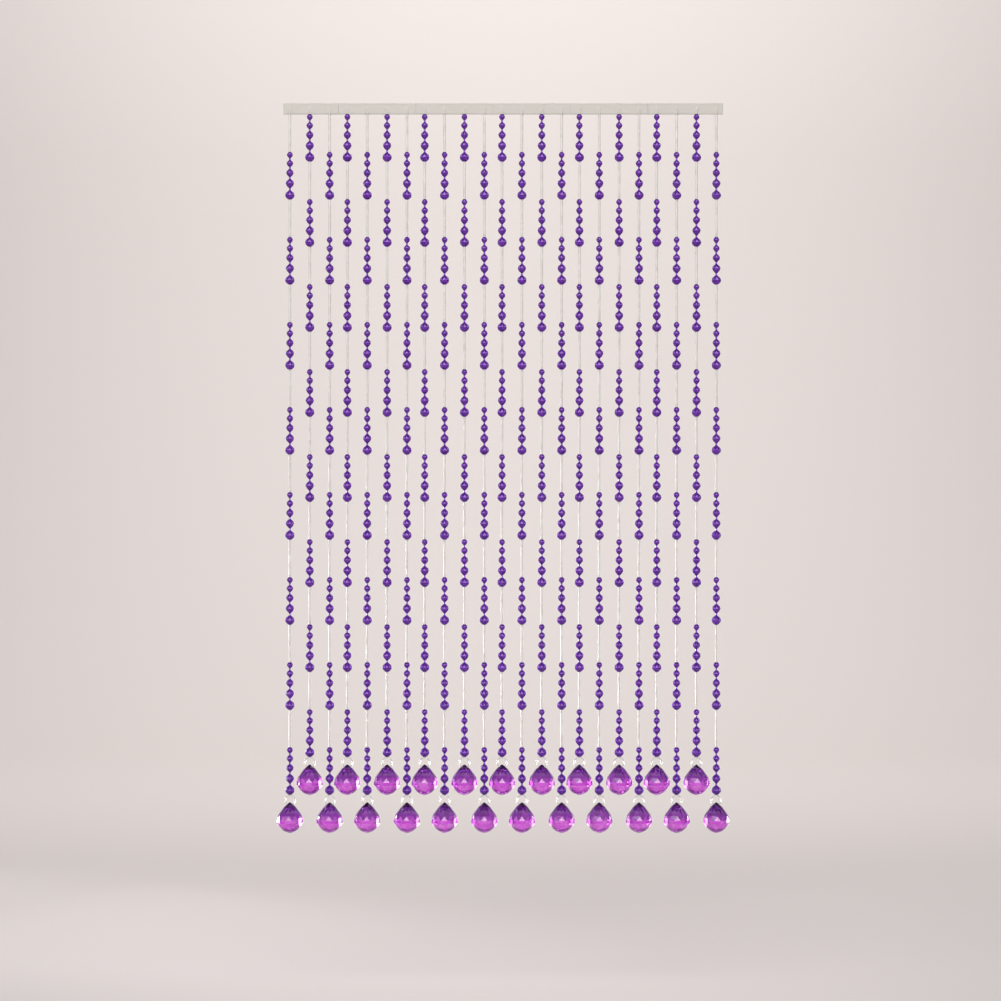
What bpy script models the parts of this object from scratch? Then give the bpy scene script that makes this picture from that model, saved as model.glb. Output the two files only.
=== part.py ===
"""Bead curtain for a doorway, in metres, +Z up.

Twenty-three strings of faceted beads hang from a narrow heading tape. Short and long strings take turns, and
a faceted drop pendant hangs from a clear ring at the foot of each one. The origin is the middle of the tape's
top face, and the curtain faces -Y.
"""

import math
from collections import namedtuple

import bmesh
import bpy
from mathutils import Matrix

MM = 0.001
COLLECTION_NAME = "bead_curtain"
CUTTER_COLLECTION_NAME = "cutters"

# Clearance between two pieces that touch on the real curtain
SEAT_GAP = 0.3 * MM
MERGE_DISTANCE = 0.001 * MM

# Strings: they come in sets of four, set side by side, with a narrower step between the sets
STRING_COUNT = 23
SET_SIZE = 4
STRINGS_IN_FIRST_SET = 3
STRING_STEP = 36.2 * MM
STEP_BETWEEN_SETS = 32.3 * MM
HungString = namedtuple("HungString", "number x is_long")

# Heading tape
TAPE_HEIGHT = 20.0 * MM
TAPE_THICKNESS = 3.0 * MM
TAPE_MARGIN = 12.0 * MM
CORD_SEWN_IN = 12.0 * MM

# Cord and beads: one group of five growing beads, repeated down the string. Thin links part the beads, and
# each bead has a crown above its widest place and a base below it.
STRAND_SIDES = 3
CORD_WIDTH = 5.0 * MM
LINK_WIDTH = 3.4 * MM
LINK_LENGTH = 3.4 * MM
GROUPS_ON_STRING = 8
GROUP_REPEAT = 154.9 * MM
LONG_STRING_LEAD = 69.0 * MM
Bead = namedtuple("Bead", "width crown base")
BEAD_GROUP = (
    Bead(width=10.8 * MM, crown=4.6 * MM, base=6.3 * MM),
    Bead(width=12.0 * MM, crown=6.0 * MM, base=6.8 * MM),
    Bead(width=13.4 * MM, crown=7.4 * MM, base=7.4 * MM),
    Bead(width=15.0 * MM, crown=8.5 * MM, base=8.6 * MM),
    Bead(width=16.8 * MM, crown=9.3 * MM, base=7.7 * MM),
)

# Clear ring between the lowest bead and the pendant
RING_RADIUS = 9.2 * MM
RING_WIRE_RADIUS = 1.4 * MM
RING_SEGMENTS = 12
RING_WIRE_SIDES = 4

# Drop pendant: its outline is a row for each girdle, from the tip down
PENDANT_SIDES = 8
PENDANT_TIP_BELOW_STRING = 14.0 * MM
PENDANT_HEIGHT = 55.6 * MM
Girdle = namedtuple("Girdle", "radius below_tip")
PENDANT_GIRDLES = (
    Girdle(radius=10.4 * MM, below_tip=8.0 * MM),
    Girdle(radius=21.2 * MM, below_tip=22.5 * MM),
    Girdle(radius=24.0 * MM, below_tip=32.6 * MM),
    Girdle(radius=21.2 * MM, below_tip=41.0 * MM),
    Girdle(radius=12.2 * MM, below_tip=51.6 * MM),
)
HOLE_RADIUS = 2.7 * MM
HOLE_BELOW_TIP = 5.05 * MM
HOLE_SIDES = 6

# Colours from the photograph, as red, green, blue and alpha
CORD_COLOUR = (0.83, 0.81, 0.76, 1.0)
BEAD_COLOUR = (0.13, 0.02, 0.36, 1.0)
PENDANT_COLOUR = (0.42, 0.06, 0.55, 1.0)
RING_COLOUR = (0.86, 0.88, 0.86, 1.0)


def clear_scene():
    """Removes every object that the scene starts with."""
    for thing in list(bpy.data.objects):
        bpy.data.objects.remove(thing, do_unlink=True)


def new_collection(name):
    """Returns a new collection, linked to the scene."""
    collection = bpy.data.collections.new(name)
    bpy.context.scene.collection.children.link(collection)
    return collection


def new_material(name, colour, roughness):
    """Returns a Principled material of one colour."""
    material = bpy.data.materials.new(name)
    material.use_nodes = True
    shader = material.node_tree.nodes["Principled BSDF"]
    shader.inputs["Base Color"].default_value = colour
    shader.inputs["Roughness"].default_value = roughness
    shader.inputs["Metallic"].default_value = 0.0
    return material


def new_object(name, mesh, collection):
    """Returns a new object for a mesh, linked to a collection."""
    thing = bpy.data.objects.new(name, mesh)
    collection.objects.link(thing)
    return thing


def evaluated_mesh(thing, name):
    """Returns the mesh of an object with its modifiers applied."""
    graph = bpy.context.evaluated_depsgraph_get()
    mesh = bpy.data.meshes.new_from_object(thing.evaluated_get(graph))
    mesh.name = name
    return mesh


def turned_mesh(name, profile, sides):
    """Returns a closed mesh: a profile of (radius, z) points, top to bottom, turned about the z axis."""
    outline = bmesh.new()
    corners = [outline.verts.new((radius, 0.0, z)) for radius, z in profile]
    for upper, lower in zip(corners, corners[1:]):
        outline.edges.new((upper, lower))
    mesh = bpy.data.meshes.new(name + "_profile")
    outline.to_mesh(mesh)
    outline.free()
    thing = new_object(name + "_profile", mesh, bpy.context.scene.collection)
    screw = thing.modifiers.new("turn", "SCREW")
    screw.steps = sides
    screw.render_steps = sides
    screw.use_merge_vertices = True
    screw.merge_threshold = MERGE_DISTANCE
    screw.use_smooth_shade = False
    turned = evaluated_mesh(thing, name)
    bpy.data.objects.remove(thing, do_unlink=True)
    return turned


def string_places():
    """Returns the sets from left to right, each a list of its strings, centred on x = 0."""
    sets = [[]]
    x = 0.0
    for index in range(STRING_COUNT):
        room = STRINGS_IN_FIRST_SET if len(sets) == 1 else SET_SIZE
        if len(sets[-1]) == room:
            sets.append([])
            x += STEP_BETWEEN_SETS
        elif index:
            x += STRING_STEP
        sets[-1].append(HungString(index + 1, x, is_long=index % 2 == 0))
    return [[string._replace(x=string.x - x / 2) for string in strings] for strings in sets]


def corner_radius(width):
    """Returns the distance from axis to corner of a three-sided strand that is this wide from the front."""
    return width / (2 * math.sin(math.pi / STRAND_SIDES))


def group_height():
    """Returns the height of one group of beads with the links between them."""
    return sum(bead.crown + bead.base for bead in BEAD_GROUP) + (len(BEAD_GROUP) - 1) * LINK_LENGTH


def first_group_top(is_long):
    """Returns the height of the top of a string's first bead group."""
    return -TAPE_HEIGHT - (LONG_STRING_LEAD if is_long else 0.0)


def string_foot(is_long):
    """Returns the height at which a string ends, under its lowest bead."""
    return first_group_top(is_long) - (GROUPS_ON_STRING - 1) * GROUP_REPEAT - group_height()


def group_profile(top):
    """Returns the (radius, z) outline of a bead group: a corner at each bead's widest place and in each link."""
    cord, link = corner_radius(CORD_WIDTH), corner_radius(LINK_WIDTH)
    profile = [(cord, top)]
    z = top
    for bead in BEAD_GROUP:
        profile.append((corner_radius(bead.width), z - bead.crown))
        z -= bead.crown + bead.base
        profile.append((link, z - LINK_LENGTH / 2))
        z -= LINK_LENGTH
    profile[-1] = (cord, top - group_height())
    return profile


def strand_profile(is_long):
    """Returns the (radius, z) outline of a string, from its end in the tape to its foot."""
    top = CORD_SEWN_IN - TAPE_HEIGHT
    profile = [(0.0, top), (corner_radius(CORD_WIDTH), top)]
    for group in range(GROUPS_ON_STRING):
        profile += group_profile(first_group_top(is_long) - group * GROUP_REPEAT)
    profile.append((0.0, string_foot(is_long)))
    return profile


def strand_mesh(name, is_long, cord_material, bead_material):
    """Returns the mesh of one string, its beads in the bead material and a corner towards -Y."""
    mesh = turned_mesh(name, strand_profile(is_long), STRAND_SIDES)
    mesh.transform(Matrix.Rotation(-math.pi / 2, 4, "Z"))
    mesh.materials.clear()
    mesh.materials.append(cord_material)
    mesh.materials.append(bead_material)
    widest_cord = corner_radius(CORD_WIDTH) + MERGE_DISTANCE
    for face in mesh.polygons:
        reach = max(math.hypot(*mesh.vertices[corner].co.xy) for corner in face.vertices)
        face.material_index = 1 if reach > widest_cord else 0
    return mesh


def tape_length(name, left, right, material, collection):
    """Returns one length of heading tape, from x = left to x = right."""
    size = Matrix.Diagonal((right - left, TAPE_THICKNESS, TAPE_HEIGHT, 1.0))
    place = Matrix.Translation(((left + right) / 2, 0.0, -TAPE_HEIGHT / 2))
    block = bmesh.new()
    bmesh.ops.create_cube(block, size=1.0, matrix=place @ size)
    mesh = bpy.data.meshes.new(name)
    block.to_mesh(mesh)
    block.free()
    mesh.materials.append(material)
    return new_object(name, mesh, collection)


def sew_in(tape, strings, strands, cutters):
    """Joins a set's strings to its length of tape, so that they are one solid."""
    for string in strings:
        strand = new_object(f"strand_{string.number:02d}", strands[string.is_long], cutters)
        strand.location = (string.x, 0.0, 0.0)
        strand.hide_render = True
        strand.display_type = "WIRE"
        union = tape.modifiers.new(f"sew_in_{string.number:02d}", "BOOLEAN")
        union.operation = "UNION"
        union.solver = "EXACT"
        union.object = strand


def build_sets(sets, materials, collection, cutters):
    """Builds all sets, their tapes butted end to end a seat gap apart."""
    cord, bead = materials["cord"], materials["bead"]
    strands = {
        False: strand_mesh("short_strand", False, cord, bead),
        True: strand_mesh("long_strand", True, cord, bead),
    }
    half_step = (STEP_BETWEEN_SETS - SEAT_GAP) / 2
    for number, strings in enumerate(sets, start=1):
        left = strings[0].x - (TAPE_MARGIN if number == 1 else half_step)
        right = strings[-1].x + (TAPE_MARGIN if number == len(sets) else half_step)
        tape = tape_length(f"string_set_{number}", left, right, cord, collection)
        tape.data.materials.append(bead)
        sew_in(tape, strings, strands, cutters)


def ring_mesh(material):
    """Returns the mesh of a clear ring that stands in the xz plane, flat at its top and foot."""
    bpy.ops.mesh.primitive_torus_add(
        major_radius=RING_RADIUS,
        minor_radius=RING_WIRE_RADIUS,
        major_segments=RING_SEGMENTS,
        minor_segments=RING_WIRE_SIDES,
    )
    torus = bpy.context.active_object
    mesh = torus.data.copy()
    mesh.name = "ring"
    bpy.data.objects.remove(torus, do_unlink=True)
    half_segment = Matrix.Rotation(math.pi / RING_SEGMENTS, 4, "Z")
    mesh.transform(Matrix.Rotation(math.pi / 2, 4, "X") @ half_segment)
    mesh.shade_smooth()
    mesh.materials.append(material)
    return mesh


def pendant_mesh(material, cutters):
    """Returns the mesh of a drop pendant with its tip at the origin and a hole along x under the tip."""
    profile = [(0.0, 0.0)]
    profile += [(girdle.radius, -girdle.below_tip) for girdle in PENDANT_GIRDLES]
    profile.append((0.0, -PENDANT_HEIGHT))
    body = new_object("pendant_body", turned_mesh("pendant_body", profile, PENDANT_SIDES), cutters)
    bpy.ops.mesh.primitive_cylinder_add(
        vertices=HOLE_SIDES,
        radius=HOLE_RADIUS,
        depth=4 * PENDANT_GIRDLES[0].radius,
        location=(0.0, 0.0, -HOLE_BELOW_TIP),
        rotation=(0.0, math.pi / 2, 0.0),
    )
    drill = bpy.context.active_object
    bore = body.modifiers.new("hole", "BOOLEAN")
    bore.operation = "DIFFERENCE"
    bore.solver = "EXACT"
    bore.object = drill
    mesh = evaluated_mesh(body, "pendant")
    bpy.data.objects.remove(body, do_unlink=True)
    bpy.data.objects.remove(drill, do_unlink=True)
    mesh.materials.clear()
    mesh.materials.append(material)
    return mesh


def build_drops(sets, materials, collection, cutters):
    """Hangs a ring and a pendant under every string."""
    ring = ring_mesh(materials["ring"])
    pendant = pendant_mesh(materials["pendant"], cutters)
    ring_reach = (RING_RADIUS + RING_WIRE_RADIUS) * math.cos(math.pi / RING_SEGMENTS)
    for strings in sets:
        for string in strings:
            foot = string_foot(string.is_long)
            hung_ring = new_object(f"ring_{string.number:02d}", ring, collection)
            hung_ring.location = (string.x, 0.0, foot - SEAT_GAP - ring_reach)
            hung_pendant = new_object(f"pendant_{string.number:02d}", pendant, collection)
            hung_pendant.location = (string.x, 0.0, foot - PENDANT_TIP_BELOW_STRING)


def main():
    """Builds the whole curtain."""
    clear_scene()
    collection = new_collection(COLLECTION_NAME)
    cutters = new_collection(CUTTER_COLLECTION_NAME)
    materials = {
        "cord": new_material("white_cord", CORD_COLOUR, 0.75),
        "bead": new_material("purple_bead", BEAD_COLOUR, 0.12),
        "pendant": new_material("purple_pendant", PENDANT_COLOUR, 0.06),
        "ring": new_material("clear_ring", RING_COLOUR, 0.1),
    }
    sets = string_places()
    build_sets(sets, materials, collection, cutters)
    build_drops(sets, materials, collection, cutters)


main()
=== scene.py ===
"""Looks of a doorway bead curtain: heading tape, cords, cut beads, clear rings and drops."""

import logging
import math
import random
from dataclasses import dataclass, field
from enum import Enum

import bmesh
import bpy
from mathutils import Matrix, Vector


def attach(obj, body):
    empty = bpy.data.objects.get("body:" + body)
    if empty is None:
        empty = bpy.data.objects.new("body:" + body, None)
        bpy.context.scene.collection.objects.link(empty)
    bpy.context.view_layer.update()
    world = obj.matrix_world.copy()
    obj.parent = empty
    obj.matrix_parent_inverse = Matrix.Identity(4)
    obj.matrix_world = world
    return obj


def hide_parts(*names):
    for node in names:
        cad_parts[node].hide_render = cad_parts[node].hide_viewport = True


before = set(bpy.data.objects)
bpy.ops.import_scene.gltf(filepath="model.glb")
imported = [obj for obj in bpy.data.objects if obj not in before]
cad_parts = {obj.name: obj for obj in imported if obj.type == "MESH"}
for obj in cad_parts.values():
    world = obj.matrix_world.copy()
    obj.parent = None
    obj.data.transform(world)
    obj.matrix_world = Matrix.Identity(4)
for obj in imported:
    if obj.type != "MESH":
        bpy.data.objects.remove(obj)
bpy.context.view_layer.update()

MM = 0.001
GROUP_VARIANTS = 6
PICTURE_SIDE = 1001
WAVE_UNIT = 20
FLAT_ANGLE = math.radians(0.5)
FLAT_NORMAL = 0.999
LOG = logging.getLogger("bead_curtain")

Colour = tuple[float, float, float]
Point = tuple[float, float, float]
Stops = tuple[tuple[float, Colour], ...]


class StringKind(Enum):
    """The two lengths of string, which take turns along the tape."""

    SHORT = "short"
    LONG = "long"


# Sizes


@dataclass(frozen=True)
class BeadSize:
    """One bead of a group, in metres.

    Attributes:
        width: across its widest place.
        crown: from its top down to its widest place.
        base: from its widest place down to its foot.
        top_width: across its flat top.
        foot_width: across its flat foot.
    """

    width: float
    crown: float
    base: float
    top_width: float = 3.4 * MM
    foot_width: float = 3.4 * MM

    @property
    def height(self) -> float:
        """Height from foot to top."""
        return self.crown + self.base


@dataclass(frozen=True)
class HungString:
    """One string: its number from the left, its place along the tape and its kind."""

    number: int
    x: float
    kind: StringKind


@dataclass(frozen=True)
class CurtainRhythm:
    """How strings and bead groups repeat, in metres, measured from the top of the tape."""

    string_count: int = 23
    set_size: int = 4
    strings_in_first_set: int = 3
    string_step: float = 36.2 * MM
    step_between_sets: float = 32.3 * MM
    tape_height: float = 20.0 * MM
    tape_margin: float = 12.0 * MM
    seat_gap: float = 0.3 * MM
    cord_sewn_in: float = 12.0 * MM
    groups_on_string: int = 8
    group_repeat: float = 154.9 * MM
    long_string_lead: float = 69.0 * MM
    tip_below_string: float = 14.0 * MM
    link_length: float = 3.4 * MM
    group: tuple[BeadSize, ...] = (
        BeadSize(10.8 * MM, crown=4.6 * MM, base=6.3 * MM, top_width=5.4 * MM),
        BeadSize(12.0 * MM, crown=6.0 * MM, base=6.8 * MM),
        BeadSize(13.4 * MM, crown=7.4 * MM, base=7.4 * MM),
        BeadSize(15.0 * MM, crown=8.5 * MM, base=8.6 * MM),
        BeadSize(16.8 * MM, crown=9.3 * MM, base=7.7 * MM, foot_width=7.2 * MM),
    )

    @property
    def group_height(self) -> float:
        """Height of one group of beads with the links between them."""
        return sum(bead.height for bead in self.group) + (len(self.group) - 1) * self.link_length

    def sets(self) -> list[list[HungString]]:
        """Places every string, set by set from left to right, centred on x = 0.

        Returns:
            One list of strings for each set.
        """
        sets: list[list[HungString]] = [[]]
        x = 0.0
        for index in range(self.string_count):
            room = self.strings_in_first_set if len(sets) == 1 else self.set_size
            if len(sets[-1]) == room:
                sets.append([])
                x += self.step_between_sets
            elif index:
                x += self.string_step
            kind = StringKind.SHORT if index % 2 else StringKind.LONG
            sets[-1].append(HungString(index + 1, x, kind))
        return [
            [HungString(one.number, one.x - x / 2, one.kind) for one in strings]
            for strings in sets
        ]

    def group_tops(self, kind: StringKind) -> list[float]:
        """Heights at which the groups of a string begin, from the top down."""
        lead = self.long_string_lead if kind is StringKind.LONG else 0.0
        return [
            -self.tape_height - lead - index * self.group_repeat
            for index in range(self.groups_on_string)
        ]

    def foot(self, kind: StringKind) -> float:
        """Height at which a string ends, under its lowest bead."""
        return self.group_tops(kind)[-1] - self.group_height

    def tape_ends(self, sets: list[list[HungString]], index: int) -> tuple[float, float]:
        """Gives the left and right end of one set's length of tape.

        Args:
            sets: all sets from left to right.
            index: which set, from 0.

        Returns:
            The x of the left end and of the right end.
        """
        half_step = (self.step_between_sets - self.seat_gap) / 2
        left = sets[index][0].x - (half_step if index else self.tape_margin)
        right = sets[index][-1].x + (half_step if index < len(sets) - 1 else self.tape_margin)
        return left, right


# Finishes


class NodeBoard:
    """A material's node tree, with short ways to add and join nodes."""

    def __init__(self, name: str) -> None:
        """Starts a material with an empty tree but for its output."""
        self.material = bpy.data.materials.new(name)
        self.material.use_nodes = True
        self.tree = self.material.node_tree
        self.tree.nodes.clear()
        self.output = self.tree.nodes.new("ShaderNodeOutputMaterial")

    def add(self, kind: str, **settings: object) -> bpy.types.Node:
        """Adds a node and sets its own properties.

        Args:
            kind: the node type's name without its ShaderNode prefix.
            settings: property names with their values.

        Returns:
            The new node.
        """
        node = self.tree.nodes.new("ShaderNode" + kind)
        for key, value in settings.items():
            setattr(node, key, value)
        return node

    def join(self, source: bpy.types.NodeSocket, target: bpy.types.NodeSocket) -> None:
        """Links one socket to another."""
        self.tree.links.new(source, target)

    def ramp(self, factor: bpy.types.NodeSocket, stops: Stops) -> bpy.types.NodeSocket:
        """Maps a value to colours.

        Args:
            factor: the socket that gives the value.
            stops: rows of position and colour, in order.

        Returns:
            The colour socket.
        """
        node = self.add("ValToRGB")
        elements = node.color_ramp.elements
        while len(elements) < len(stops):
            elements.new(0.5)
        for element, (position, colour) in zip(elements, stops):
            element.position = position
            element.color = (*colour, 1.0)
        self.join(factor, node.inputs["Fac"])
        return node.outputs["Color"]

    def math(self, operation: str, *values: object) -> bpy.types.NodeSocket:
        """Works out a value from sockets or numbers.

        Args:
            operation: the Math node's operation.
            values: a socket or a number for each of its inputs.

        Returns:
            The value socket.
        """
        node = self.add("Math", operation=operation)
        for socket, value in zip(node.inputs, values):
            if isinstance(value, bpy.types.NodeSocket):
                self.join(value, socket)
            else:
                socket.default_value = value
        return node.outputs[0]

    def noise(
        self, place: bpy.types.NodeSocket, scale: float, detail: float = 2.0
    ) -> bpy.types.NodeSocket:
        """Adds a fine noise.

        Args:
            place: the socket that gives the coordinates.
            scale: how fine it is.
            detail: how many finer layers it has.

        Returns:
            The value socket.
        """
        node = self.add("TexNoise")
        node.inputs["Scale"].default_value = scale
        node.inputs["Detail"].default_value = detail
        self.join(place, node.inputs["Vector"])
        return node.outputs["Fac"]

    def bump(
        self, height: bpy.types.NodeSocket, distance: float, strength: float
    ) -> bpy.types.NodeSocket:
        """Turns a height into a normal.

        Args:
            height: the height socket.
            distance: the relief's depth in metres.
            strength: from 0 to 1.

        Returns:
            The normal socket.
        """
        node = self.add("Bump")
        node.inputs["Distance"].default_value = distance
        node.inputs["Strength"].default_value = strength
        self.join(height, node.inputs["Height"])
        return node.outputs["Normal"]

    def principled(self, **sockets: object) -> None:
        """Adds the main shader, joined to the output.

        Args:
            sockets: input names, with underscores for spaces, and the number or socket each takes.
        """
        shader = self.add("BsdfPrincipled")
        for key, value in sockets.items():
            socket = shader.inputs[key.replace("_", " ")]
            if isinstance(value, bpy.types.NodeSocket):
                self.join(value, socket)
            else:
                socket.default_value = value
        self.join(shader.outputs["BSDF"], self.output.inputs["Surface"])


@dataclass(frozen=True)
class CutStoneFinish:
    """Polished see-through stone whose facet tones hold small random differences, painted
    highlights and, on the drops, painted shade.

    Attributes:
        name: the material's name.
        stops: the colours from the deepest facet to the palest.
        transmission: share of the light that passes through.
        roughness: of the polish.
        gloss: specular level of its surface.
        ior: its refractive index.
        wear: how much rougher the polish is at its dullest.
        wear_scale: how fine the wear is.
    """

    name: str
    stops: Stops
    transmission: float
    roughness: float
    gloss: float
    ior: float
    wear: float = 0.05
    wear_scale: float = 900.0

    def material(self) -> bpy.types.Material:
        """Makes the material, which reads the facet_tone attribute of its piece."""
        board = NodeBoard(self.name)
        # facet_tone holds random tone, painted highlights and, on the drops, painted shade
        tone = board.add("Attribute", attribute_name="facet_tone").outputs["Fac"]
        polish = board.noise(board.add("TexCoord").outputs["Object"], self.wear_scale)
        board.principled(
            Base_Color=board.ramp(tone, self.stops),
            Roughness=board.math("MULTIPLY_ADD", polish, self.wear, self.roughness),
            Transmission_Weight=self.transmission,
            IOR=self.ior,
            Specular_IOR_Level=self.gloss,
        )
        return board.material


@dataclass(frozen=True)
class ClearFinish:
    """Clear moulded ring plastic, faintly hazy."""

    name: str = "clear_ring_plastic"
    tint: Colour = (0.93, 0.95, 0.94)
    haze: float = 0.06
    haze_change: float = 0.06
    haze_scale: float = 420.0
    transmission: float = 0.9
    ior: float = 1.49

    def material(self) -> bpy.types.Material:
        """Makes the material."""
        board = NodeBoard(self.name)
        flow = board.noise(board.add("TexCoord").outputs["Object"], self.haze_scale)
        board.principled(
            Base_Color=(*self.tint, 1.0),
            Roughness=board.math("MULTIPLY_ADD", flow, self.haze_change, self.haze),
            Transmission_Weight=self.transmission,
            IOR=self.ior,
        )
        return board.material


@dataclass(frozen=True)
class SatinCordFinish:
    """Cream satin cord: fine threads that run along the twist, with a soft sheen."""

    name: str = "cream_satin_cord"
    shade: Colour = (0.62, 0.58, 0.51)
    body: Colour = (0.83, 0.80, 0.74)
    light: Colour = (0.93, 0.91, 0.87)
    threads: float = 1500.0
    thread_detail: float = 3.0
    thread_share: float = 0.55
    thread_stretch: tuple[float, float, float] = (1.0, 1.0, 0.35)
    thread_slope: tuple[float, float, float] = (0.0, 0.5, 0.0)
    soil_scale: float = 60.0
    soil_share: float = 0.45
    relief: float = 0.25 * MM

    def material(self) -> bpy.types.Material:
        """Makes the material, whose threads slope like the twist of the cord."""
        board = NodeBoard(self.name)
        place = board.add("TexCoord").outputs["Object"]
        turn = board.add("Mapping")
        turn.inputs["Scale"].default_value = self.thread_stretch
        turn.inputs["Rotation"].default_value = self.thread_slope
        board.join(place, turn.inputs["Vector"])
        fibre = board.noise(turn.outputs["Vector"], self.threads, self.thread_detail)
        soil = board.noise(place, self.soil_scale)
        fibre_part = board.math("MULTIPLY", fibre, self.thread_share)
        mixed = board.math("MULTIPLY_ADD", soil, self.soil_share, fibre_part)
        # painted shade in the threads' hollows and a painted highlight on their tops, with darker
        # soiled patches
        colour = board.ramp(mixed, ((0.3, self.shade), (0.5, self.body), (0.7, self.light)))
        board.principled(
            Base_Color=colour,
            Roughness=0.42,
            Sheen_Weight=0.3,
            Sheen_Roughness=0.4,
            Normal=board.bump(fibre, self.relief, 0.5),
        )
        return board.material


@dataclass(frozen=True)
class WovenTapeFinish:
    """Matt cream ribbed tape: fine cross ribs with warp threads over them."""

    name: str = "cream_woven_tape"
    shade: Colour = (0.60, 0.56, 0.50)
    body: Colour = (0.84, 0.81, 0.76)
    rib_pitch: float = 0.9 * MM
    thread_pitch: float = 0.6 * MM
    weave_share: float = 0.7
    fuzz_share: float = 0.5
    fuzz_scale: float = 1400.0
    relief: float = 0.3 * MM

    def material(self) -> bpy.types.Material:
        """Makes the material on the piece's object coordinates."""
        board = NodeBoard(self.name)
        place = board.add("TexCoord").outputs["Object"]
        waves = []
        for direction, pitch in (("X", self.rib_pitch), ("Z", self.thread_pitch)):
            wave = board.add(
                "TexWave", wave_type="BANDS", bands_direction=direction, wave_profile="SIN"
            )
            wave.inputs["Scale"].default_value = 2 * math.pi / (WAVE_UNIT * pitch)
            board.join(place, wave.inputs["Vector"])
            waves.append(wave.outputs["Fac"])
        weave = board.math("MULTIPLY", *waves)
        fuzz = board.math("MULTIPLY", board.noise(place, self.fuzz_scale), self.fuzz_share)
        height = board.math("MULTIPLY_ADD", weave, self.weave_share, fuzz)
        # painted shade: the colour deepens in the weave's hollows, where the bump sinks
        colour = board.ramp(height, ((0.15, self.shade), (0.75, self.body)))
        board.principled(
            Base_Color=colour,
            Roughness=0.85,
            Sheen_Weight=0.25,
            Normal=board.bump(height, self.relief, 0.7),
        )
        return board.material


@dataclass(frozen=True)
class PaleStudioFinish:
    """Matt paint of the studio's floor and back."""

    name: str = "pale_studio"
    colour: Colour = (0.60, 0.55, 0.53)

    def material(self) -> bpy.types.Material:
        """Makes the material."""
        board = NodeBoard(self.name)
        board.principled(Base_Color=(*self.colour, 1.0), Roughness=0.9)
        return board.material


BEAD_FINISH = CutStoneFinish(
    name="violet_bead_stone",
    stops=(
        (0.0, (0.018, 0.004, 0.05)),
        (0.35, (0.10, 0.016, 0.28)),
        (0.7, (0.21, 0.045, 0.50)),
        # the palest stops colour the painted highlight on the star triangles
        (1.0, (0.46, 0.21, 0.86)),
    ),
    transmission=0.3,
    roughness=0.06,
    gloss=0.35,
    ior=1.42,
)
PENDANT_FINISH = CutStoneFinish(
    name="purple_pendant_stone",
    stops=(
        # the deep stops colour the painted shade at the tip and over the crown
        (0.0, (0.012, 0.002, 0.018)),
        (0.35, (0.21, 0.055, 0.41)),
        (0.7, (0.90, 0.13, 1.0)),
        # the palest stop colours the painted highlight on the star facets
        (1.0, (1.0, 0.72, 1.0)),
    ),
    transmission=0.8,
    roughness=0.02,
    gloss=0.3,
    ior=1.53,
)


# Shapes


@dataclass(frozen=True)
class Girdle:
    """One ring of corners round a cut stone.

    Attributes:
        radius: from the axis to each corner, in metres.
        drop: below the stone's top, in metres.
        half_turn: whether the ring is turned by half a facet.
    """

    radius: float
    drop: float
    half_turn: bool = False


def cut_stone(girdles: tuple[Girdle, ...], corners: int) -> bmesh.types.BMesh:
    """Cuts a closed convex stone whose facets span rings of corners.

    Args:
        girdles: the rings from the top down.
        corners: how many corners each ring has.

    Returns:
        The stone, hanging down from the origin.
    """
    stone = bmesh.new()
    facet = 2 * math.pi / corners
    for girdle in girdles:
        turn = Matrix.Rotation(facet / 2 if girdle.half_turn else 0.0, 4, "Z")
        place = Matrix.Translation((0.0, 0.0, -girdle.drop)) @ turn
        bmesh.ops.create_circle(stone, segments=corners, radius=girdle.radius, matrix=place)
    bmesh.ops.convex_hull(stone, input=stone.verts[:])
    bare = [edge for edge in stone.edges if not edge.link_faces]
    bmesh.ops.delete(stone, geom=bare, context="EDGES")
    bmesh.ops.dissolve_limit(
        stone, angle_limit=FLAT_ANGLE, verts=stone.verts[:], edges=stone.edges[:]
    )
    bmesh.ops.recalc_face_normals(stone, faces=stone.faces[:])
    return stone


def add_copy(
    target: bmesh.types.BMesh, shape: bpy.types.Mesh, place: Matrix
) -> list[bmesh.types.BMFace]:
    """Adds a copy of a shape to a larger mesh.

    Args:
        target: the mesh that grows.
        shape: the shape to copy.
        place: where the copy goes.

    Returns:
        The copy's faces.
    """
    vertex_count, face_count = len(target.verts), len(target.faces)
    target.from_mesh(shape)
    target.verts.ensure_lookup_table()
    target.faces.ensure_lookup_table()
    bmesh.ops.transform(target, matrix=place, verts=target.verts[vertex_count:])
    return target.faces[face_count:]


def shape_mesh(shape: bmesh.types.BMesh, name: str) -> bpy.types.Mesh:
    """Turns a finished bmesh into a mesh and frees it."""
    mesh = bpy.data.meshes.new(name)
    shape.to_mesh(mesh)
    shape.free()
    return mesh


@dataclass
class Workbench:
    """Where finished pieces are hung: their collection and a log of them."""

    collection: bpy.types.Collection
    pieces: list[bpy.types.Object] = field(default_factory=list)

    def hang(
        self,
        name: str,
        shape: bmesh.types.BMesh,
        finish: bpy.types.Material,
        slot: str,
        replaced: tuple[str, ...] = (),
        smooth: bool = False,
    ) -> bpy.types.Object:
        """Makes a piece of a shape and hangs it on the frame.

        Args:
            name: the piece's name.
            shape: its shape in place, which is freed.
            finish: its material.
            slot: not used.
            replaced: nodes that it stands for.
            smooth: whether its round faces are shaded smooth.

        Returns:
            The piece.
        """
        piece = bpy.data.objects.new(name, shape_mesh(shape, name))
        self.collection.objects.link(piece)
        piece.data.materials.append(finish)
        if smooth:
            piece.data.shade_smooth()
        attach(piece, "root")
        if replaced:
            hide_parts(*replaced)
        self.pieces.append(piece)
        LOG.info("%s: %d faces", name, len(piece.data.polygons))
        return piece


# Heading tape


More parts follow.
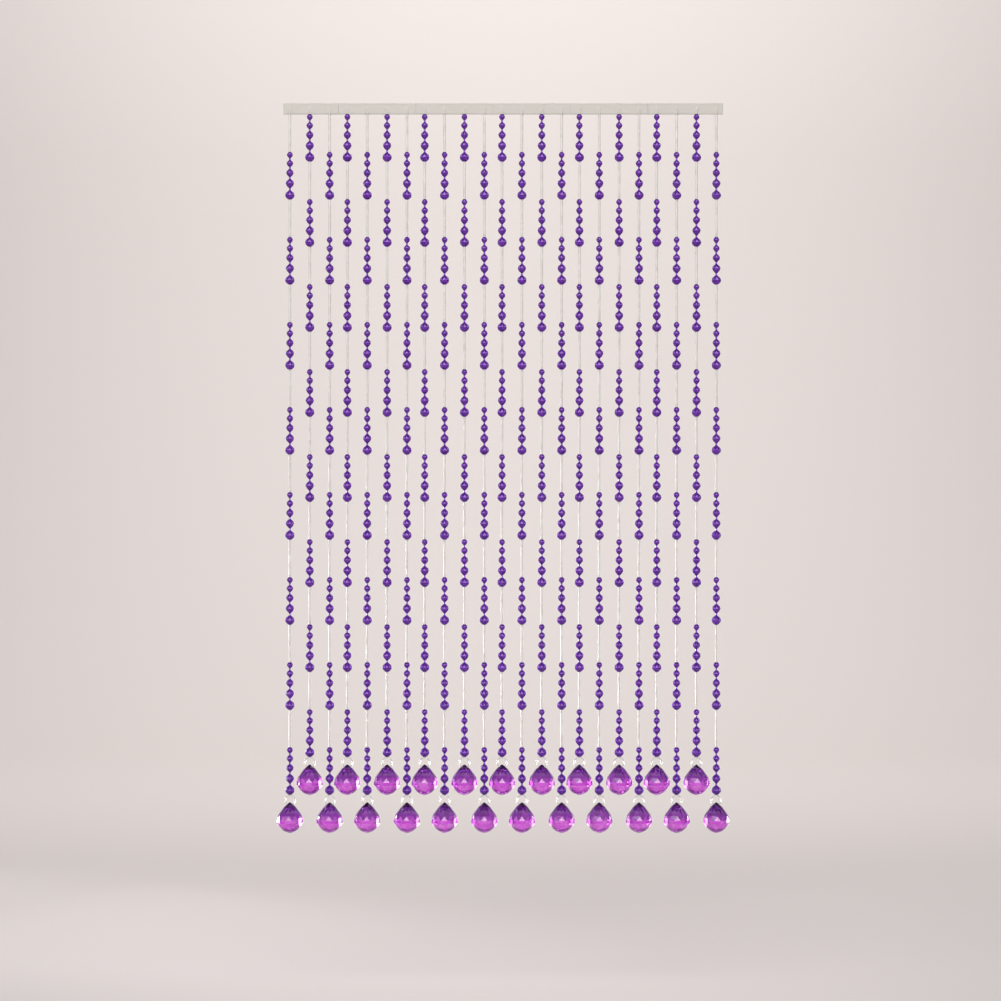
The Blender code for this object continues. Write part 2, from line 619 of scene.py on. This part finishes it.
@dataclass
class HeadingTape:
    """One length of ribbed tape, folded double over the cord ends and stitched shut."""

    left: float
    right: float
    cords_at: list[float]
    height: float = 20.0 * MM
    cloth: float = 0.7 * MM
    half_depth: float = 1.45 * MM
    bulge: float = 1.65 * MM
    bulge_reach: float = 4.2 * MM
    bulge_sharpness: float = 2.2
    bulge_fade: float = 4.0 * MM
    rows: int = 14
    fold_steps: int = 8
    column_step: float = 1.2 * MM
    stitch_pitch: float = 3.6 * MM
    stitch: tuple[float, float, float] = (1.3 * MM, 0.3 * MM, 0.38 * MM)
    seam_inset: float = 2.2 * MM

    def swell(self, x: float, z: float, cord_top: float) -> float:
        """Tells how far the cloth is pushed out by the cord ends behind it."""
        near = min(abs(x - cord) for cord in self.cords_at)
        across = math.exp(-((near / self.bulge_reach) ** 2) * self.bulge_sharpness)
        down = min(1.0, max(0.0, (cord_top - z) / self.bulge_fade + 0.5))
        return self.bulge * across * down

    def cloth_shape(self, cord_top: float) -> bmesh.types.BMesh:
        """Folds the ribbon over its top edge.

        Args:
            cord_top: the height of the cord ends inside the fold.

        Returns:
            The folded ribbon as one closed sheet.
        """
        ribbon = bmesh.new()
        reach = self.half_depth
        lowest, fold = -self.height, -reach
        front = [
            (-reach, lowest + (fold - lowest) * row / self.rows) for row in range(self.rows + 1)
        ]
        turns = [math.pi * step / self.fold_steps for step in range(1, self.fold_steps)]
        crown = [(-reach * math.cos(turn), fold + reach * math.sin(turn)) for turn in turns]
        back = [(-y, z) for y, z in reversed(front)]
        outline = [ribbon.verts.new((self.left, y, z)) for y, z in front + crown + back]
        edges = [ribbon.edges.new(pair) for pair in zip(outline, outline[1:])]
        columns = max(2, round((self.right - self.left) / self.column_step))
        step = (self.right - self.left) / columns
        for _ in range(columns):
            grown = bmesh.ops.extrude_edge_only(ribbon, edges=edges)["geom"]
            new_verts = [part for part in grown if isinstance(part, bmesh.types.BMVert)]
            edges = [
                part
                for part in grown
                if isinstance(part, bmesh.types.BMEdge)
                and all(vert in new_verts for vert in part.verts)
            ]
            bmesh.ops.translate(ribbon, verts=new_verts, vec=(step, 0.0, 0.0))
        for vert in ribbon.verts:
            push = self.swell(vert.co.x, vert.co.z, cord_top)
            vert.co.y += math.copysign(push, vert.co.y) if abs(vert.co.y) > reach * 0.9 else 0.0
        bmesh.ops.recalc_face_normals(ribbon, faces=ribbon.faces[:])
        bmesh.ops.solidify(ribbon, geom=ribbon.faces[:], thickness=self.cloth)
        return ribbon

    def seams(self, cord_top: float) -> bmesh.types.BMesh:
        """Sews a row of stitches along the fold and one along the open edge, seen on both faces.

        Args:
            cord_top: the height of the cord ends inside the fold.

        Returns:
            The stitches, half sunk in the cloth.
        """
        thread = bmesh.new()
        count = round((self.right - self.left) / self.stitch_pitch) - 1
        first = (self.left + self.right - (count - 1) * self.stitch_pitch) / 2
        for x in (first + index * self.stitch_pitch for index in range(count)):
            for z in (-self.seam_inset, self.seam_inset - self.height):
                for side in (-1.0, 1.0):
                    y = side * (self.half_depth + self.swell(x, z, cord_top))
                    place = Matrix.LocRotScale(Vector((x, y, z)), None, Vector(self.stitch))
                    bmesh.ops.create_icosphere(thread, subdivisions=1, radius=1.0, matrix=place)
        return thread


# Cords


@dataclass
class SatinCord:
    """Three-ply twisted satin cord, cut into straight stretches."""

    radius: float = 2.35 * MM
    lobe_depth: float = 0.22 * MM
    plies: int = 3
    sides: int = 15
    pitch: float = 16.0 * MM
    row_height: float = 1.6 * MM
    cut_lengths: dict[int, bpy.types.Mesh] = field(default_factory=dict)

    def stretch(self, length: float) -> bpy.types.Mesh:
        """Gives a straight stretch of cord, hanging down from the origin.

        Args:
            length: how long it is, in metres.

        Returns:
            Its mesh, the same one for every stretch of that length.
        """
        size = round(length / (0.1 * MM))
        if size not in self.cut_lengths:
            self.cut_lengths[size] = shape_mesh(self.twist(length), "cord_stretch")
        return self.cut_lengths[size]

    def twist(self, length: float) -> bmesh.types.BMesh:
        """Twists the plies down a length and closes both ends."""
        cord = bmesh.new()
        ring = bmesh.ops.create_circle(cord, segments=self.sides, radius=self.radius)["verts"]
        for vert in ring:
            angle = math.atan2(vert.co.y, vert.co.x)
            reach = self.radius - self.lobe_depth * (0.5 - 0.5 * math.cos(self.plies * angle))
            vert.co.xy = reach * math.cos(angle), reach * math.sin(angle)
        rows = max(2, round(length / self.row_height))
        spun = bmesh.ops.spin(
            cord,
            geom=cord.verts[:] + cord.edges[:],
            axis=(0.0, 0.0, 1.0),
            dvec=(0.0, 0.0, -length / rows),
            angle=2 * math.pi * length / self.pitch,
            steps=rows,
        )
        last = [part for part in spun["geom_last"] if isinstance(part, bmesh.types.BMVert)]
        for end in (ring, last):
            touching = {edge for vert in end for edge in vert.link_edges}
            loop = [edge for edge in touching if edge.is_boundary]
            bmesh.ops.contextual_create(cord, geom=loop)
        return cord


@dataclass
class TieLoop:
    """The thread at a string's foot that holds the clear ring."""

    radius: float = 1.75 * MM
    thread: float = 0.3 * MM
    thread_sides: int = 6
    steps: int = 16

    def shape(self) -> bmesh.types.BMesh:
        """Bends the thread round the x axis."""
        loop = bmesh.new()
        place = Matrix.Translation((0.0, self.radius, 0.0))
        bmesh.ops.create_circle(
            loop, segments=self.thread_sides, radius=self.thread, matrix=place
        )
        bmesh.ops.spin(
            loop,
            geom=loop.verts[:] + loop.edges[:],
            axis=(1.0, 0.0, 0.0),
            angle=2 * math.pi,
            steps=self.steps,
            use_merge=True,
        )
        bmesh.ops.recalc_face_normals(loop, faces=loop.faces[:])
        return loop


# Beads


@dataclass
class BeadGroup:
    """Five growing eight-sided beads, joined by thin links of the same plastic."""

    rhythm: CurtainRhythm
    corners: int = 8
    shoulder: float = 0.86
    hip_fullness: float = 1.28
    turn_chance: float = 0.08
    link_slope: float = 0.02
    link_tone: float = 0.9
    base_tone: float = 0.6
    crown_tone: float = 0.5
    # painted highlight on the star triangles over the girdle
    star_painted_highlight: float = 0.86
    tone_chance: float = 0.12

    def bead(self, size: BeadSize) -> bmesh.types.BMesh:
        """Cuts one bead, hanging down from the origin.

        Args:
            size: the bead's size.

        Returns:
            The bead with a flat top and foot.
        """
        radius, top, foot = size.width / 2, size.top_width / 2, size.foot_width / 2
        hip = self.hip_fullness * (radius + foot) / 2
        girdles = (
            Girdle(top, 0.0),
            Girdle(self.shoulder * radius, size.crown / 2),
            Girdle(radius / math.cos(math.pi / self.corners), size.crown, half_turn=True),
            Girdle(hip, size.crown + size.base / 2),
            Girdle(foot, size.height),
        )
        return cut_stone(girdles, self.corners)

    def shape(self, chance: random.Random) -> bmesh.types.BMesh:
        """Joins the beads of one group, hanging down from the origin.

        Args:
            chance: gives each bead its slight turn and each facet its tone.

        Returns:
            The group as one closed shape.
        """
        group = bmesh.new()
        z = 0.0
        for size in self.rhythm.group:
            angle = chance.uniform(-self.turn_chance, self.turn_chance)
            turn = Matrix.Rotation(angle, 4, "Z")
            bead = shape_mesh(self.bead(size), "cut_bead")
            add_copy(group, bead, Matrix.Translation((0.0, 0.0, z)) @ turn)
            z -= size.height + self.rhythm.link_length
        flats = [face for face in group.faces if abs(face.normal.z) > FLAT_NORMAL]
        flats.sort(key=lambda face: face.calc_center_median().z, reverse=True)
        linked = flats[1:-1]
        rims = [low.edges[:] + high.edges[:] for low, high in zip(linked[::2], linked[1::2])]
        bmesh.ops.delete(group, geom=linked, context="FACES_ONLY")
        for rim in rims:
            bmesh.ops.bridge_loops(group, edges=rim)
        bmesh.ops.recalc_face_normals(group, faces=group.faces[:])
        tones = group.faces.layers.float.new("facet_tone")
        for face in group.faces:
            face[tones] = self.tone(face) + chance.uniform(-self.tone_chance, self.tone_chance)
        return group

    def tone(self, face: bmesh.types.BMFace) -> float:
        """Picks a facet's depth of colour: palest on links, with a painted highlight on the
        triangles over the girdle.

        Args:
            face: the facet of an upright bead.

        Returns:
            A tone from 0, deepest, to 1, palest.
        """
        if abs(face.normal.z) < self.link_slope:
            return self.link_tone
        if face.normal.z < 0:
            return self.base_tone
        half_facets = round(math.atan2(face.normal.x, -face.normal.y) * self.corners / math.pi)
        # the star triangle over the girdle gets the painted highlight, the other upper facets the
        # crown tone
        return self.crown_tone if half_facets % 2 else self.star_painted_highlight


# Clear rings and pendants


@dataclass
class ClearRing:
    """A clear moulded ring under the lowest bead, which stands in the curtain's plane."""

    radius: float = 8.95 * MM
    wire_radius: float = 1.3 * MM
    centre_below_foot: float = 10.5 * MM
    segments: int = 40
    sides: int = 10

    def shape(self) -> bmesh.types.BMesh:
        """Spins the ring about its centre."""
        ring = bmesh.new()
        place = Matrix.Translation((self.radius, 0.0, 0.0))
        upright = Matrix.Rotation(math.pi / 2, 3, "X")
        bmesh.ops.create_circle(
            ring, segments=self.sides, radius=self.wire_radius, matrix=place
        )
        bmesh.ops.rotate(ring, verts=ring.verts[:], cent=(0, 0, 0), matrix=upright)
        bmesh.ops.spin(
            ring,
            geom=ring.verts[:] + ring.edges[:],
            axis=(0.0, 0.0, 1.0),
            angle=2 * math.pi,
            steps=self.segments,
            use_merge=True,
        )
        bmesh.ops.rotate(ring, verts=ring.verts[:], cent=(0, 0, 0), matrix=upright)
        bmesh.ops.recalc_face_normals(ring, faces=ring.faces[:])
        return ring


@dataclass
class DropPendant:
    """A large drop cut in twelve, drilled sideways under its tip."""

    corners: int = 12
    girdles: tuple[Girdle, ...] = (
        Girdle(1.2 * MM, 0.2 * MM),
        Girdle(10.4 * MM, 8.0 * MM),
        Girdle(21.2 * MM, 22.8 * MM),
        Girdle(24.3 * MM, 31.2 * MM, half_turn=True),
        Girdle(24.6 * MM, 36.0 * MM, half_turn=True),
        Girdle(21.4 * MM, 41.2 * MM),
        Girdle(16.0 * MM, 48.0 * MM, half_turn=True),
        Girdle(11.8 * MM, 51.8 * MM),
        Girdle(3.4 * MM, 55.4 * MM, half_turn=True),
    )
    polish: float = 0.22 * MM
    hole_radius: float = 2.45 * MM
    hole_below_tip: float = 5.05 * MM
    drill_sides: int = 16
    drill_length: float = 40.0 * MM
    # painted shade: near black on the neck under the tip, deep over the crown
    neck_painted_shade: float = 0.06
    crown_tone: float = 0.2
    base_tone: float = 0.7
    keel_tone: float = 0.6
    # painted highlight on every other star facet, a plainer tone on the rest
    star_facet_tones_with_painted_highlight: tuple[float, float] = (0.98, 0.5)
    tone_chance: float = 0.1

    def tone(self, face: bmesh.types.BMFace, tip: float, chance: random.Random) -> float:
        """Picks a facet's depth of colour: painted shade, near black at the tip and deep over the
        crown, and a painted highlight on every other star facet.

        Args:
            face: the facet, in place.
            tip: the height of the drop's tip.
            chance: gives the facet its slight difference.

        Returns:
            A tone from 0, deepest, to 1, palest.
        """
        middle = face.calc_center_median()
        drop = tip - middle.z
        neck, star_apex, girdle, keel = (self.girdles[index].drop for index in (1, 2, 3, 7))
        if drop > girdle:
            tone = self.base_tone if drop < keel else self.keel_tone
        # painted shade: near black at the tip, deep over the crown and paler towards the girdle
        elif drop < neck:
            tone = self.neck_painted_shade
        elif drop < (star_apex + girdle) / 2:
            tone = self.crown_tone + self.crown_tone * drop / girdle
        else:
            # painted highlight on every other star facet
            azimuth = math.degrees(math.atan2(face.normal.x, -face.normal.y))
            tone = self.star_facet_tones_with_painted_highlight[round(azimuth / (360 / self.corners)) % 2]
        return min(1.0, max(0.0, tone + chance.uniform(-self.tone_chance, self.tone_chance)))

    def shape(self) -> bpy.types.Mesh:
        """Cuts, polishes and drills the drop, its tip at the origin."""
        stone = cut_stone(self.girdles, self.corners)
        bmesh.ops.bevel(
            stone,
            geom=stone.edges[:],
            offset=self.polish,
            affect="EDGES",
            segments=1,
            profile=0.5,
            material=-1,
        )
        body = bpy.data.objects.new("uncut_drop", shape_mesh(stone, "uncut_drop"))
        drill = bmesh.new()
        sideways = Matrix.Rotation(math.pi / 2, 4, "Y")
        place = Matrix.Translation((0.0, 0.0, -self.hole_below_tip)) @ sideways
        bmesh.ops.create_cone(
            drill,
            cap_ends=True,
            segments=self.drill_sides,
            radius1=self.hole_radius,
            radius2=self.hole_radius,
            depth=self.drill_length,
            matrix=place,
        )
        bit = bpy.data.objects.new("drill_bit", shape_mesh(drill, "drill_bit"))
        for thing in (body, bit):
            bpy.context.scene.collection.objects.link(thing)
        bore = body.modifiers.new("bore", "BOOLEAN")
        bore.operation = "DIFFERENCE"
        bore.solver = "EXACT"
        bore.object = bit
        graph = bpy.context.evaluated_depsgraph_get()
        drilled = bpy.data.meshes.new_from_object(body.evaluated_get(graph))
        for thing in (body, bit):
            bpy.data.objects.remove(thing, do_unlink=True)
        return drilled


@dataclass
class StringEnd:
    """What hangs under one string: its clear ring and its pendant."""

    rhythm: CurtainRhythm
    string: HungString
    ring: ClearRing
    pendant: DropPendant

    def hang(
        self,
        bench: Workbench,
        ring_cut: bpy.types.Mesh,
        drop_cut: bpy.types.Mesh,
        finishes: dict[str, bpy.types.Material],
        chance: random.Random,
    ) -> None:
        """Hangs the ring and the pendant.

        Args:
            bench: takes the finished pieces.
            ring_cut: the ring's shape about its centre.
            drop_cut: the pendant's shape under its tip.
            finishes: the materials by name.
            chance: gives each facet its tone.
        """
        foot = self.rhythm.foot(self.string.kind)
        number = f"{self.string.number:02d}"
        ring = bmesh.new()
        centre = (self.string.x, 0.0, foot - self.ring.centre_below_foot)
        add_copy(ring, ring_cut, Matrix.Translation(centre))
        bench.hang(
            f"clear_ring_{number}", ring, finishes["ring"], "ring", (f"ring_{number}",), True
        )
        drop = bmesh.new()
        tones = drop.faces.layers.float.new("facet_tone")
        place = Matrix.Translation((self.string.x, 0.0, foot - self.rhythm.tip_below_string))
        for face in add_copy(drop, drop_cut, place):
            face[tones] = self.pendant.tone(face, place.translation.z, chance)
        bench.hang(
            f"drop_{number}", drop, finishes["pendant"], "pendant", (f"pendant_{number}",)
        )


@dataclass
class StringSet:
    """One set: a length of tape with its cords and beads."""

    rhythm: CurtainRhythm
    number: int
    strings: list[HungString]
    ends: tuple[float, float]

    def hang(
        self,
        bench: Workbench,
        groups: list[bpy.types.Mesh],
        satin: SatinCord,
        ring: ClearRing,
        finishes: dict[str, bpy.types.Material],
        chance: random.Random,
    ) -> None:
        """Hangs the tape, cords and beads, which stand for the set's node.

        Args:
            bench: takes the finished pieces.
            groups: bead groups that differ slightly.
            satin: the cord that the strings are cut from.
            ring: the clear ring that each string's tie goes round.
            finishes: the materials by name.
            chance: picks groups and turns the twists.
        """
        node = (f"string_set_{self.number}",)
        cord_top = self.rhythm.cord_sewn_in - self.rhythm.tape_height
        tape = HeadingTape(*self.ends, [string.x for string in self.strings])
        cloth = bench.hang(
            f"heading_tape_{self.number}",
            tape.cloth_shape(cord_top),
            finishes["tape"],
            "heading_tape",
            node,
            True,
        )
        seams = tape.seams(cord_top)
        bench.hang(
            f"seams_{self.number}", seams, finishes["tape"], "heading_tape", node, True
        )
        cords, beads = bmesh.new(), bmesh.new()
        tie = shape_mesh(TieLoop().shape(), "tie_loop")
        for string in self.strings:
            top = cord_top
            for group_top in self.rhythm.group_tops(string.kind):
                turn = Matrix.Rotation(chance.uniform(0, math.tau), 4, "Z")
                place = Matrix.Translation((string.x, 0.0, top))
                add_copy(cords, satin.stretch(top - group_top), place @ turn)
                place = Matrix.Translation((string.x, 0.0, group_top))
                add_copy(beads, chance.choice(groups), place)
                top = group_top - self.rhythm.group_height
            ring_top = top - ring.centre_below_foot + ring.radius
            add_copy(cords, tie, Matrix.Translation((string.x, 0.0, ring_top)))
        bench.hang(f"cords_{self.number}", cords, finishes["cord"], "cord", node, True)
        bench.hang(f"beads_{self.number}", beads, finishes["bead"], "bead", node)


# Studio


@dataclass
class Studio:
    """A pale sweep behind the curtain, soft lights and the camera."""

    pixel: float = 1.822 * MM
    middle_column: float = 503.1
    tape_foot_row: float = 114.3
    tape_height: float = 20.0 * MM
    lens: float = 85.0
    sensor: float = 36.0
    half_width: float = 9.0
    front_depth: float = 8.0
    back_height: float = 7.0
    bend_steps: int = 12
    floor_drop: float = 1.63
    back_depth: float = 6.5
    bend: float = 2.5

    def camera(self) -> None:
        """Sets the camera straight in front, level with the picture's middle."""
        middle = PICTURE_SIDE / 2
        distance = PICTURE_SIDE * self.pixel * self.lens / self.sensor
        x = (middle - self.middle_column) * self.pixel
        z = -self.tape_height - (middle - self.tape_foot_row) * self.pixel
        lens = bpy.data.cameras.new("camera")
        lens.lens = self.lens
        lens.sensor_width = self.sensor
        camera = bpy.data.objects.new("camera", lens)
        camera.location = (x, -distance, z)
        camera.rotation_euler = (math.pi / 2, 0.0, 0.0)
        bpy.context.scene.collection.objects.link(camera)
        bpy.context.scene.camera = camera

    def sweep(self) -> None:
        """Builds the floor that curves up into the back."""
        paper = bmesh.new()
        bend_start = self.back_depth - self.bend
        outline = [(-self.front_depth, 0.0), (bend_start, 0.0)]
        outline += [
            (bend_start + self.bend * math.sin(turn), self.bend - self.bend * math.cos(turn))
            for turn in (
                math.pi / 2 * step / self.bend_steps for step in range(1, self.bend_steps + 1)
            )
        ]
        outline.append((self.back_depth, self.back_height))
        verts = [paper.verts.new((-self.half_width, y, z - self.floor_drop)) for y, z in outline]
        edges = [paper.edges.new(pair) for pair in zip(verts, verts[1:])]
        grown = bmesh.ops.extrude_edge_only(paper, edges=edges)["geom"]
        moved = [part for part in grown if isinstance(part, bmesh.types.BMVert)]
        bmesh.ops.translate(paper, verts=moved, vec=(2 * self.half_width, 0.0, 0.0))
        sweep = bpy.data.objects.new("studio_sweep", shape_mesh(paper, "studio_sweep"))
        sweep.data.shade_smooth()
        sweep.data.materials.append(PaleStudioFinish().material())
        bpy.context.scene.collection.objects.link(sweep)

    def light(
        self,
        name: str,
        place: Point,
        aim: Point,
        size: tuple[float, float],
        power: float,
        spread: float = 180.0,
    ) -> None:
        """Adds a soft light that the camera itself doesn't see.

        Args:
            name: its name.
            place: where it stands.
            aim: the point it faces.
            size: its width and height in metres.
            power: in watts.
            spread: the angle in degrees over which it shines.
        """
        lamp = bpy.data.lights.new(name, "AREA")
        lamp.shape = "RECTANGLE"
        lamp.size, lamp.size_y = size
        lamp.energy = power
        lamp.spread = math.radians(spread)
        light = bpy.data.objects.new(name, lamp)
        light.location = place
        light.rotation_euler = (Vector(aim) - Vector(place)).to_track_quat("-Z", "Y").to_euler()
        light.visible_camera = False
        bpy.context.scene.collection.objects.link(light)

    def world(self) -> None:
        """Fills the shadows with an even pale light."""
        bpy.context.scene.view_settings.view_transform = "Standard"
        world = bpy.data.worlds.new("studio_air")
        world.use_nodes = True
        back = world.node_tree.nodes["Background"]
        back.inputs["Color"].default_value = (0.9, 0.92, 1.0, 1.0)
        back.inputs["Strength"].default_value = 0.12
        bpy.context.scene.world = world

    def build(self) -> None:
        """Sets up the whole studio."""
        self.camera()
        self.sweep()
        self.world()
        middle = (0.0, 0.0, -0.7)
        self.light("key_light", (-0.3, -3.2, 1.6), middle, (3.0, 3.0), 110.0)
        self.light("fill_light", (2.8, -3.2, 0.2), middle, (2.5, 2.5), 20.0)
        self.light("side_light", (-3.4, -2.2, 0.4), middle, (2.0, 2.5), 20.0)
        self.light("back_light", (0.0, 2.6, 3.4), (0.0, 6.0, -0.6), (5.0, 2.5), 320.0)
        for side, power in ((-1.0, 6.0), (1.0, 2.0)):
            far, near = (2.05 * side, 1.0, -1.1), (1.3 * side, 1.0, -1.1)
            pendants, far_pendants = (0.0, 0.0, -1.25), (-0.25 * side, 0.0, -1.25)
            self.light("rim_light", far, pendants, (1.5, 0.9), power, spread=60.0)
            self.light(
                "far_rim_light", near, far_pendants, (1.0, 0.9), power / 2, spread=40.0
            )


def main() -> None:
    """Builds the curtain set by set."""
    logging.basicConfig(level=logging.INFO, format="%(name)s: %(message)s")
    collection = bpy.data.collections.new("bead_curtain")
    bpy.context.scene.collection.children.link(collection)
    bench = Workbench(collection)
    rhythm = CurtainRhythm()
    chance = random.Random(7)
    finishes = {
        "tape": WovenTapeFinish().material(),
        "cord": SatinCordFinish().material(),
        "bead": BEAD_FINISH.material(),
        "ring": ClearFinish().material(),
        "pendant": PENDANT_FINISH.material(),
    }
    groups = [
        shape_mesh(BeadGroup(rhythm).shape(chance), "bead_group") for _ in range(GROUP_VARIANTS)
    ]
    satin, ring, pendant = SatinCord(), ClearRing(), DropPendant()
    ring_cut, drop_cut = shape_mesh(ring.shape(), "ring_cut"), pendant.shape()
    sets = rhythm.sets()
    for index, strings in enumerate(sets):
        ends = rhythm.tape_ends(sets, index)
        one_set = StringSet(rhythm, index + 1, strings, ends)
        one_set.hang(bench, groups, satin, ring, finishes, chance)
        for string in strings:
            end = StringEnd(rhythm, string, ring, pendant)
            end.hang(bench, ring_cut, drop_cut, finishes, chance)
    Studio().build()
    LOG.info("%d pieces hung", len(bench.pieces))


if __name__ == "__main__":
    main()
